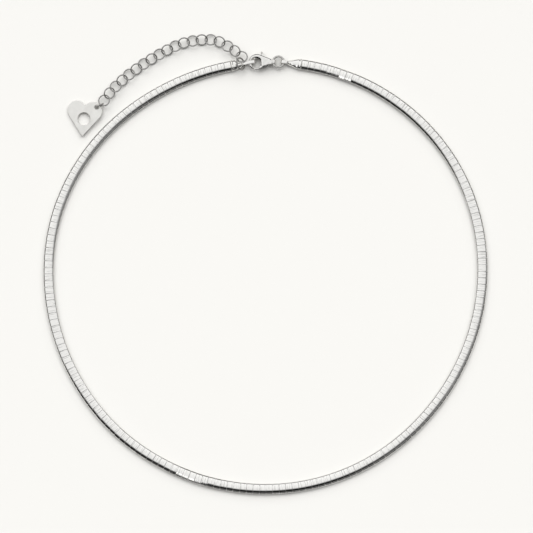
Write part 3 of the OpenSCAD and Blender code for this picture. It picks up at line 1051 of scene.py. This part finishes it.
    def body(self) -> Array:
        """Builds the hook and the teardrop body as one band between two edges.

        The inner edge is the hook's circle, from the hook's tip round to under the pin. The outer
        edge runs with it: round the outer circle, down the straight side to the tail, across it
        and back along the other straight side. From the hook on, the body grows to its full
        thickness, and it thins again towards its end under the pin.

        Returns:
            A grid of (stations, section points, 3).
        """
        tail, spread = np.asarray(self.tail), np.array([0.0, self.tail_half])
        upper, lower = tail + spread, tail - spread
        top, foot = self.touch(upper, 1.0), self.touch(lower, -1.0)
        start = self.pin_cut(self.out_r, self.reach + self.gap)
        hook, side, end = self.rows
        outer = np.concatenate([
            self.edge_from(np.linspace(start, top, hook), self.out_r),
            np.linspace(self.edge_from(top, self.out_r), upper, side)[1:],
            np.linspace(upper, lower, end)[1:],
            np.linspace(lower, self.edge_from(foot, self.out_r), side)[1:],
        ])
        share = np.concatenate([[0.0]] + [
            np.linspace(low, high, number)[1:]
            for low, high, number in zip(self.corners, self.corners[1:], (hook, side, end, side))
        ])
        inner = self.in_r * ray(self.inner_from + (self.inner_to - self.inner_from) * share)
        grown = eased((share - self.swell_from) / (self.swell_to - self.swell_from))
        thinned = eased((share - self.thin_from) / (1.0 - self.thin_from))
        half = self.hook_half + (self.thick / 2.0 - self.hook_half) * grown - self.thin * thinned
        slope = self.hook_slope + (self.body_slope - self.hook_slope) * grown[:, None]
        half = half * self.tip(len(share), *self.hook_tip)
        return self.between(inner, outer, half, (self.inner_slope, slope))

    def room(self) -> Array:
        """Builds the cutter that opens the body between its cheeks for the lever.

        Returns:
            A grid of (2, plan points, 3).
        """
        left = self.pin[0] - self.hub_r - self.room_left
        right = self.pin[0] + self.hub_r + self.room_right
        far, high = self.room_reach, self.lever_half + self.side_gap
        plan = np.array([[left, far], [left, 0.0], [0.0, 0.0], [0.0, -far], [right, -far],
                         [right, far]])
        return np.stack([raised(plan, z) for z in (-high, high)])

    def tail_eye(self) -> Array:
        """Builds the tail's eye: a flat bar carried round a circle that stands across the tail.

        Returns:
            A grid of (stations, section points, 3).
        """
        out = ray(np.arange(self.tail_rows) * 360.0 / self.tail_rows)
        path = [self.tail[0], 0.0] + (self.tail_hole + self.tail_wall / 2.0) * out
        return bar_loop(path, out, self.tail[1], self.tail_half, self.tail_wall)

    def gate(self) -> Array:
        """Builds the lever's gate: the rest of the hook's ring, from its tip to the hub.

        Returns:
            A grid of (stations, section points, 3).
        """
        radius = self.out_r - self.step
        sweep = np.linspace(self.pin_cut(radius, self.reach), self.gate_outer_to, self.gate_rows)
        inner = self.in_r * ray(np.linspace(*self.gate_inner, self.gate_rows))
        half = self.lever_half * self.tip(self.gate_rows, *self.gate_tip)
        return self.between(inner, self.edge_from(sweep, radius), half, self.gate_slopes)

    def hub(self) -> Array:
        """Builds the lever's hub, a disc round the pin with softened rims.

        Returns:
            A grid of (stations, section points, 3).
        """
        out = ray(np.arange(self.hub_rows) * 360.0 / self.hub_rows)
        reach = self.hub_section[None, :, :1] * self.hub_r
        flat = np.asarray(self.pin) + out[:, None, :] * reach
        return raised(flat, self.hub_section[:, 1] * self.lever_half)

    def arm(self) -> Array:
        """Builds the arm from the hub to the thumb tab, which swells at its end.

        Rows run from the hub to past the tab. Each is an oval whose half width and half height
        change along the arm, and the tab's are the sines and cosines of a round bead.

        Returns:
            A grid of (stations, section points, 3).
        """
        start, end = np.asarray(self.pin), np.asarray(self.tab)
        length = float(np.linalg.norm(end - start))
        way = (end - start) / length
        root = np.linspace(self.arm_from, length - self.arm_to, self.arm_rows)
        bead = np.radians(np.linspace(self.bead_from, 90.0, self.bead_rows))
        s = np.concatenate([root, length + self.tab_r * np.sin(bead)])
        swell = np.concatenate([np.zeros(len(root)), np.cos(bead)])
        ease = eased(s / (length - self.taper_to))
        taper = self.arm_root + (self.arm_half - self.arm_root) * ease
        wide = np.maximum(taper * (s < length - self.tab_r), self.tab_r * swell)
        high = np.maximum(self.lever_half * (s < length - self.full_to), self.tab_half * swell)
        wide, high = (np.maximum(size, self.least)[:, None] for size in (wide, high))
        loop = rounded_bar(1.0, 1.0, corner=0.75, steps=4)
        middle, side = start + s[:, None] * way, np.array([-way[1], way[0]])
        flat = middle[:, None, :] + (loop[:, 0] * wide)[..., None] * side
        return raised(flat, loop[:, 1] * high)

    def build(self, finish: bpy.types.Material) -> None:
        """Builds the clasp's body and its lever, and puts them in place of their solids.

        Args:
            finish: The finish of both.
        """
        place = self.place
        body = surface("clasp_body_dressed", finish, place.of(self.body()), self.crease)
        carve(body, surface("room", finish, place.of(self.room())), self.crease)
        join(body, surface("tail", finish, place.of(self.tail_eye()), self.tail_crease, True))
        settle(body, NECKLACE, "clasp_body")
        lever = Skin()
        lever.grid(place.of(self.gate()))
        lever.grid(place.of(self.hub()), ring_u=True)
        lever.grid(place.of(self.arm()))
        piece = lever.piece("clasp_lever_dressed", finish, self.lever_crease)
        settle(piece, LEVER, "clasp_lever")


# Rings and chain


@dataclass(frozen=True)
class WireRing:
    """A round ring of round wire, with a butted joint where its two ends were closed."""

    outer: float
    wire: float
    around: int
    across: int
    joint: float | None = None  # angle of the joint round the ring, or None for a soldered ring
    joint_rows: int = 9
    joint_half: float = 3.0
    joint_clear: float = 4.0
    joint_spread: float = 1.1
    joint_dip: float = 0.16
    crease: float = 60.0

    @property
    def middle(self) -> float:
        """Gives the radius of the wire's middle line."""
        return (self.outer - self.wire) / 2.0

    def grid(self) -> Array:
        """Gives the closed ring about the Z axis.

        The middle line is a circle and the section a circle of half the wire, so that the point
        (u, v) is the circle's point at u, moved by the section's point at v outwards and up. At
        the joint the wire's radius dips by a narrow bell curve, with more rows to draw it.

        Returns:
            A grid of (stations, section points, 3).
        """
        angle = np.arange(self.around) * 360.0 / self.around
        radius = np.full(self.around, self.wire / 2.0)
        if self.joint is not None:
            near = self.joint + np.linspace(-self.joint_half, self.joint_half, self.joint_rows)
            kept = angle[np.abs(aside(angle, self.joint)) > self.joint_clear]
            angle = np.sort(np.concatenate([kept, near]))
            dip = np.exp(-((aside(angle, self.joint) / self.joint_spread) ** 2))
            radius = self.wire / 2.0 * (1.0 - self.joint_dip * dip)
        section = ray(np.arange(self.across) * 360.0 / self.across)
        reach = self.middle + radius[:, None] * section[None, :, 0]
        return raised(ray(angle)[:, None, :] * reach[..., None], radius[:, None] * section[:, 1])

    def lay(self, name: str, solid: str, place: Place, finish: bpy.types.Material) -> None:
        """Builds the ring at a place and puts it in place of its solid.

        Args:
            name: The object's name.
            solid: The solid that it stands for.
            place: Where it lies, its axis along Z.
            finish: Its finish.
        """
        ring = surface(name, finish, place.of(self.grid()), self.crease, ring_u=True)
        settle(ring, NECKLACE, solid)


@dataclass
class ClaspRing:
    """The jump ring between the clasp's tail and the right cap, its joint on the far side."""

    at: tuple[float, float] = (3.86124, 62.586)
    heading: float = -0.585098
    tilt: float = 1.76323
    high: float = 1.05
    ring: WireRing = WireRing(outer=3.9, wire=0.65, around=72, across=18, joint=118.0)

    def build(self, finish: bpy.types.Material) -> None:
        """Builds the ring and puts it in place of its solid.

        Args:
            finish: The ring's finish.
        """
        turn = spin("z", self.heading) @ spin("y", self.tilt)
        place = Place(turn, np.array([*self.at, self.high]))
        self.ring.lay("clasp_ring_dressed", "clasp_ring", place, finish)


@dataclass
class Extender:
    """The extender chain with the ring that holds it and the ring that carries the tag.

    The route is a smooth cubic curve through a few points, and the links stand along it at equal
    lengths, turned one way and the other about the chain's line in turn.
    """

    route: Array = field(default_factory=lambda: np.array([
        [-7.05, 64.05, 1.0], [-9.95, 66.4, 0.42], [-15.6, 69.1, 0.0], [-24.0, 68.3, 0.0],
        [-32.0, 64.6, 0.0], [-40.0, 59.3, 0.0], [-45.4, 54.4, 0.3], [-48.2, 50.8, 0.6],
    ]))
    span_steps: int = 12
    links: int = 19
    link: WireRing = WireRing(outer=3.7, wire=0.4, around=52, across=12)
    play: float = 0.2
    roll_flat: float = 18.0
    roll_steep: float = 32.0
    lift: float = 0.05
    end: WireRing = WireRing(outer=4.1, wire=0.5, around=64, across=16, joint=205.0)
    end_lean: float = 54.0
    end_seat: float = 4.0
    tag_ring: WireRing = WireRing(outer=2.8, wire=0.4, around=52, across=14, joint=70.0)
    tag_side: float = 208.0
    tag_air: float = 0.3

    def curve(self, k: Array) -> Array:
        """Gives the route's points, each span a cubic through its ends that joins smoothly.

        Args:
            k: Parameters, counted in steps of a span.

        Returns:
            Points of (..., 3).
        """
        points = self.route
        ends = np.concatenate([[2 * points[0] - points[1]], points, [2 * points[-1] - points[-2]]])
        k = np.asarray(k, float) / self.span_steps
        i = np.clip(np.floor(k).astype(int), 0, len(points) - 2)
        t = (k - i)[..., None]
        a, b, c, d = (ends[i + n] for n in range(4))
        square, cube = 2 * a - 5 * b + 4 * c - d, 3 * b - a - 3 * c + d
        return (2 * b + (c - a) * t + square * t ** 2 + cube * t ** 3) / 2

    def stations(self) -> tuple[Array, Array]:
        """Finds each link's middle and the chain's direction there.

        Returns:
            Middles and directions, both (links, 3).
        """
        k, near = np.arange(self.span_steps * (len(self.route) - 1) + 1), 0.1
        pitch = self.link.outer - 2 * self.link.wire - self.play
        at = np.interp(np.arange(self.links) * pitch, lengths(self.curve(k)), k)
        steep = self.link.middle * math.sin(math.radians(self.roll_steep))
        base = [0.0, 0.0, steep + self.link.wire / 2 + self.lift]
        return self.curve(at) + base, self.curve(at + near) - self.curve(at - near)

    def build(self, cap: EndCap, finish: bpy.types.Material) -> Place:
        """Builds the end ring, the links and the tag's ring.

        Args:
            cap: The left cap, whose eye holds the end ring.
            finish: The wire's finish.

        Returns:
            The middle of the tag's ring, with X towards the tag.
        """
        run, rise = self.end.middle * ray(self.end_lean)
        seat = cap.place.of(np.array([self.end_seat - run, 0.0, cap.eye_high + rise]))
        place = Place(cap.place.turn @ spin("y", self.end_lean), seat)
        self.end.lay("extender_ring_dressed", "extender_ring", place, finish)
        middles, ways = self.stations()
        for number, (at, way) in enumerate(zip(middles, ways), start=1):
            roll = self.roll_flat if number % 2 else -self.roll_steep
            turn = spin("z", heading(way)) @ spin("y", -climb(way)) @ spin("x", roll)
            self.link.lay(f"link_{number:02d}_dressed", f"extender_link_{number:02d}",
                          Place(turn, at), finish)
        run, rise = self.link.middle * ray(climb(ways[-1]))
        last = middles[-1] + [*(run * ray(heading(ways[-1]))), rise]
        high = self.tag_ring.middle + self.tag_ring.wire / 2.0 + self.lift
        room = self.tag_ring.middle - (self.tag_ring.wire + self.link.wire) / 2.0 - self.tag_air
        reach = math.sqrt(max(0.0, room ** 2 - (last[2] - high) ** 2))
        at = np.array([*(last[:2] + reach * ray(self.tag_side)), high])
        turn = spin("z", self.tag_side)
        upright = Place(turn @ spin("x", 90.0), at)
        self.tag_ring.lay("tag_ring_dressed", "tag_ring", upright, finish)
        return Place(turn, at)


# The tag


@dataclass
class HeartTag:
    """The plain heart tag: two round lobes, straight sides down to the tip, a round window."""

    width: float = 10.4
    height: float = 10.5
    thick: float = 0.6
    lobe_r: float = 2.8
    window_r: float = 1.9
    hole_r: float = 0.65
    hole_wall: float = 0.4
    hole_heading: float = 53.0
    hole_steps: int = 32
    # The drill's section: how much wider than the hole it is, and how far past the tag's face
    flare: Array = field(default_factory=lambda: np.array([
        [0.35, 0.3], [0.06, -0.01], [0.0, -0.07],
    ]))
    lift: float = 0.9
    turn: float = -5.8
    bevel: float = 0.14
    side_steps: int = 97
    crease: float = 40.0

    @property
    def lobe(self) -> Array:
        """Gives the middle of the right lobe."""
        return np.array([self.width / 2.0 - self.lobe_r, self.height / 2.0 - self.lobe_r])

    @property
    def hole(self) -> Array:
        """Gives the middle of the hole, near the edge of the right lobe."""
        return self.lobe + (self.lobe_r - self.hole_wall - self.hole_r) * ray(self.hole_heading)

    def outline(self, way: Array) -> Array:
        """Gives the heart's edge seen from its middle.

        On each side the edge is the far crossing of the ray with the lobe's circle, above the
        point where the straight side touches it, and the crossing with that side below.

        Args:
            way: Angles from +X.

        Returns:
            Distances from the middle at those angles.
        """
        direction = ray(np.where(np.cos(np.radians(way)) < 0.0, 180.0 - way, way))
        lobe, tip = self.lobe, np.array([0.0, -self.height / 2.0])
        reach = lobe - tip
        side = heading(reach) - math.degrees(math.asin(self.lobe_r / np.linalg.norm(reach)))
        touch = tip + math.sqrt(float(reach @ reach) - self.lobe_r ** 2) * ray(side)
        toward = direction @ lobe
        square = toward ** 2 - float(lobe @ lobe) + self.lobe_r ** 2
        far = toward + np.sqrt(np.maximum(0.0, square))
        normal = ray(side - 90.0)
        straight = float(tip @ normal) / np.maximum(1e-6, direction @ normal)
        high = direction[..., 1] * touch[0] - direction[..., 0] * touch[1] > 0.0
        return np.where(high, far, straight)

    def plate(self) -> Array:
        """Builds the heart round its window, with softened rims inside and out.

        Rows go round the window. Columns go round the sheet's section: from the window's edge over
        the top to the heart's edge and back below. Each rim is a quarter circle, with one more
        point just inside it that keeps the shading of the flat face flat.

        Returns:
            A grid of (stations, section points, 3).
        """
        tip, notch = -90.0, 90.0
        way = np.concatenate([np.linspace(tip, notch, self.side_steps),
                              np.linspace(notch, tip + 360.0, self.side_steps)[1:-1]])
        turn = np.radians([0.0, 30.0, 60.0, 90.0, 90.0])
        further = [0.0, 0.0, 0.0, 0.0, 0.35]
        inset = self.bevel * (1.0 - np.cos(turn) + further)
        high = self.thick / 2.0 - self.bevel * (1.0 - np.sin(turn))
        near = np.broadcast_to(self.window_r + inset, (len(way), len(inset)))
        far = self.outline(way)[:, None] - inset[None, ::-1]
        reach = np.concatenate([near, far, far[:, ::-1], near[:, ::-1]], axis=1)
        z = np.concatenate([high, high[::-1], -high, -high[::-1]])
        return raised(ray(way)[:, None, :] * reach[..., None], z)

    def drill(self) -> Array:
        """Builds the cutter for the hole, a rod that flares at the tag's two faces.

        Returns:
            A grid of (stations, circle points, 3).
        """
        out = ray(np.arange(self.hole_steps) * 360.0 / self.hole_steps)
        wider, past = self.flare.T
        radius = self.hole_r + np.concatenate([wider, wider[::-1]])
        high = np.concatenate([-self.thick / 2.0 - past, (self.thick / 2.0 + past)[::-1]])
        return raised(self.hole + radius[:, None, None] * out[None, :, :], high[:, None])

    def place(self, ring: Place, middle: float) -> Place:
        """Finds where the tag lies: its hole on the ring's far side, its left lobe on the table.

        Args:
            ring: Middle of the tag's ring, its X axis towards the tag.
            middle: Radius of the ring's middle line.

        Returns:
            The tag's place, for points measured from its hole.
        """
        reach = math.sqrt(middle ** 2 - (ring.at[2] - self.lift) ** 2)
        at = ring.at[:2] + reach * ring.turn[:2, 0]
        along = self.hole[0] + self.width / 2.0
        tilt = math.degrees(math.asin((self.lift - self.thick / 2.0) / along))
        return Place(spin("z", self.turn) @ spin("y", -tilt), np.array([*at, self.lift]))

    def build(self, ring: Place, middle: float, finish: bpy.types.Material) -> None:
        """Builds the tag with its hole and puts it in place of its solid.

        Args:
            ring: Middle of the tag's ring, its X axis towards the tag.
            middle: Radius of the ring's middle line.
            finish: The tag's finish.
        """
        place, offset = self.place(ring, middle), np.array([*self.hole, 0.0])
        plate, drill = (place.of(grid - offset) for grid in (self.plate(), self.drill()))
        tag = surface("heart_tag_dressed", finish, plate, self.crease, ring_u=True)
        carve(tag, surface("drill", finish, drill), self.crease)
        settle(tag, NECKLACE, "heart_tag")


# The table, the light and the camera


@dataclass
class Studio:
    """A pale table under a white light tent, seen straight from above.

    The tent is open towards the viewer's side for the hands that work in it, and that gap is what
    draws the dark line along the lower shoulder of every polished plate.
    """

    middle: tuple[float, float] = (0.33, 1.64)
    frame: float = 159.0
    distance: float = 730.0
    sensor: float = 36.0
    clip: tuple[float, float] = (0.01, 10.0)
    table_half: float = 4000.0
    table_drop: float = 0.02
    # The walls: their light falls from the far side to the near one, and is low by the table
    north: float = -60.0
    north_light: float = 1.08
    south_light: float = 0.85
    wall_from: float = 0.36
    wall_to: float = 0.2
    low_light: float = 0.05
    beyond_light: float = 0.3
    # The opening: two leans from straight up, how soft they are, and how it pales to +X
    gap_from: float = 25.0
    gap_from_soft: float = 12.0
    gap_to: float = 66.0
    gap_to_soft: float = 7.0
    gap_turn: float = 14.0
    gap_light: float = 0.012
    east_from: float = 0.27
    east_to: float = 0.7
    east_light: float = 0.26
    # The seam of the cloth that hangs into the opening
    seam_turn: float = -19.5
    seam_half: float = 0.03
    seam_core: float = 0.015
    seam_to: float = 58.0
    seam_to_soft: float = 4.0
    seam_light: float = 1.7
    # The two windows beyond the clasp
    sun_height: float = 42.0
    sun_width: float = 60.0
    sun_power: float = 4.95
    sun_spread: float = 28.0

    def table(self, card: bpy.types.Material) -> None:
        """Lays the table: a square plane just under the necklace.

        Args:
            card: What the table is covered with.
        """
        mesh = bpy.data.meshes.new("table")
        corners = raised(self.table_half * np.array([[-1, -1], [1, -1], [1, 1], [-1, 1]]),
                         -self.table_drop)
        mesh.from_pydata((corners * MM).tolist(), [], [(0, 1, 2, 3)])
        mesh.materials.append(card)
        table = bpy.data.objects.new("table", mesh)
        bpy.context.collection.objects.link(table)

    def walls(self, tree: bpy.types.NodeTree, lean: bpy.types.NodeSocket,
              high: bpy.types.NodeSocket) -> bpy.types.NodeSocket:
        """Gives the walls' light: even with the lean, a step down beyond the opening, low below.

        Args:
            tree: The world's node tree.
            lean: A direction's angle from straight up to the open side.
            high: Its upward part.

        Returns:
            The light.
        """
        wall = node(tree, "ShaderNodeMapRange", {
            "Value": lean, "From Min": math.radians(self.north),
            "From Max": math.radians(self.gap_from),
            "To Min": self.north_light, "To Max": self.south_light,
        })
        far = node(tree, "ShaderNodeMath", {
            0: lean, 1: math.radians((self.gap_from + self.gap_to) / 2.0),
        }, operation="GREATER_THAN")
        wall = node(tree, "ShaderNodeMix", {
            0: far.outputs[0], 2: wall.outputs[0], 3: self.beyond_light,
        }, data_type="FLOAT")
        rise = node(tree, "ShaderNodeMapRange", {
            "Value": high, "From Min": self.wall_to, "From Max": self.wall_from,
        }, interpolation_type="SMOOTHSTEP")
        return node(tree, "ShaderNodeMix", {
            0: rise.outputs[0], 2: self.low_light, 3: wall.outputs[0],
        }, data_type="FLOAT").outputs[0]

    def opening(self, tree: bpy.types.NodeTree, lean: bpy.types.NodeSocket,
                where: bpy.types.NodeSocket, east: bpy.types.NodeSocket) -> bpy.types.NodeSocket:
        """Gives the opening's light: dark, paler to +X, with one bright seam.

        The seam is where a direction's part across the seam's upright plane is small.

        Args:
            tree: The world's node tree.
            lean: A direction's angle from straight up to the open side.
            where: The direction.
            east: Its part to +X.

        Returns:
            The light.
        """
        dark = node(tree, "ShaderNodeMapRange", {
            "Value": east, "From Min": self.east_from, "From Max": self.east_to,
            "To Min": self.gap_light, "To Max": self.east_light,
        })
        across = node(tree, "ShaderNodeVectorMath", {
            0: where, 1: (*ray(self.seam_turn), 0.0),
        }, operation="DOT_PRODUCT")
        off = node(tree, "ShaderNodeMath", {0: across.outputs["Value"]}, operation="ABSOLUTE")
        strip = node(tree, "ShaderNodeMapRange", {
            "Value": off.outputs[0], "From Min": self.seam_half, "From Max": self.seam_core,
        }, interpolation_type="SMOOTHSTEP")
        over = node(tree, "ShaderNodeMapRange", {
            "Value": lean, "From Min": math.radians(self.seam_to + self.seam_to_soft),
            "From Max": math.radians(self.seam_to - self.seam_to_soft),
        }, interpolation_type="SMOOTHSTEP")
        seam = node(tree, "ShaderNodeMath", {0: strip.outputs[0], 1: over.outputs[0]},
                    operation="MULTIPLY")
        return node(tree, "ShaderNodeMix", {
            0: seam.outputs[0], 2: dark.outputs[0], 3: self.seam_light,
        }, data_type="FLOAT").outputs[0]

    def tent(self) -> None:
        """Lights the world: pale walls, dim near the table, dark where the tent is open.

        The opening is a band of leans with soft edges, turned a little to +X.
        """
        world = bpy.data.worlds.new("light_tent")
        bpy.context.scene.world = world
        tree = bare_tree(world)
        where = node(tree, "ShaderNodeTexCoord").outputs["Generated"]
        parts = node(tree, "ShaderNodeSeparateXYZ", {0: where}).outputs
        south = node(tree, "ShaderNodeVectorMath", {
            0: where, 1: (*ray(self.gap_turn - 90.0), 0.0),
        }, operation="DOT_PRODUCT")
        lean = node(tree, "ShaderNodeMath", {0: south.outputs["Value"], 1: parts["Z"]},
                    operation="ARCTAN2").outputs[0]
        low, high = [node(tree, "ShaderNodeMapRange", {
            "Value": lean, "From Min": math.radians(edge - soft),
            "From Max": math.radians(edge + soft),
        }, interpolation_type="SMOOTHSTEP").outputs[0] for edge, soft in (
            (self.gap_from, self.gap_from_soft), (self.gap_to, -self.gap_to_soft))]
        gap = node(tree, "ShaderNodeMath", {0: low, 1: high}, operation="MULTIPLY")
        light = node(tree, "ShaderNodeMix", {
            0: gap.outputs[0], 2: self.walls(tree, lean, parts["Z"]),
            3: self.opening(tree, lean, where, parts["X"]),
        }, data_type="FLOAT")
        shader = node(tree, "ShaderNodeBackground", {"Color": light.outputs[0], "Strength": 1.0})
        node(tree, "ShaderNodeOutputWorld", {"Surface": shader.outputs[0]})

    def windows(self) -> None:
        """Adds two wide soft lights from beyond the clasp, for the shadows on the table."""
        for side in (-1, 1):
            light = bpy.data.lights.new("window_light", "SUN")
            light.energy, light.angle = self.sun_power / 2.0, math.radians(self.sun_width)
            lamp = bpy.data.objects.new("window_light", light)
            lamp.rotation_euler = (math.radians(self.sun_height - 90.0), 0.0,
                                   math.radians(side * self.sun_spread))
            lamp.visible_glossy = False
            bpy.context.collection.objects.link(lamp)

    def camera(self) -> None:
        """Hangs the camera over the necklace, looking straight down."""
        lens = bpy.data.cameras.new("camera")
        lens.sensor_width = self.sensor
        lens.lens = self.sensor * self.distance / self.frame
        lens.clip_start, lens.clip_end = self.clip
        camera = bpy.data.objects.new("camera", lens)
        camera.location = (self.middle[0] * MM, self.middle[1] * MM, self.distance * MM)
        bpy.context.collection.objects.link(camera)
        bpy.context.scene.camera = camera

    def build(self) -> None:
        """Sets up the whole studio."""
        self.table(TablePaper().material())
        self.tent()
        self.windows()
        self.camera()
        bpy.context.scene.view_settings.view_transform = "Standard"


def main() -> None:
    """Builds the studio and the necklace in order."""
    logging.basicConfig(level=logging.INFO, format="%(name)s: %(message)s")
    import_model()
    Studio().build()
    polished, drawn = POLISHED.material(), DRAWN.material()
    loop = Loop()
    Band(loop).build(RIBBED.material(), MESH.material())
    left_end, right_end = 360.0 - loop.left_end, loop.right_end
    left = EndCap("cap_left", loop.at(left_end), float(loop.heading(left_end)),
                  slot_from=3.45, slot_to=7.15, tip_half=1.0)
    right = EndCap("cap_right", loop.at(right_end), float(loop.heading(right_end)) + 180.0,
                   slot_from=4.2, slot_to=6.05, tip_half=0.8)
    left.build(polished)
    right.build(polished)
    Clasp().build(CAST.material())
    ClaspRing().build(BUFFED.material())
    extender = Extender()
    ring = extender.build(left, drawn)
    HeartTag().build(ring, extender.tag_ring.middle, SATIN.material())


if __name__ == "__main__":
    main()
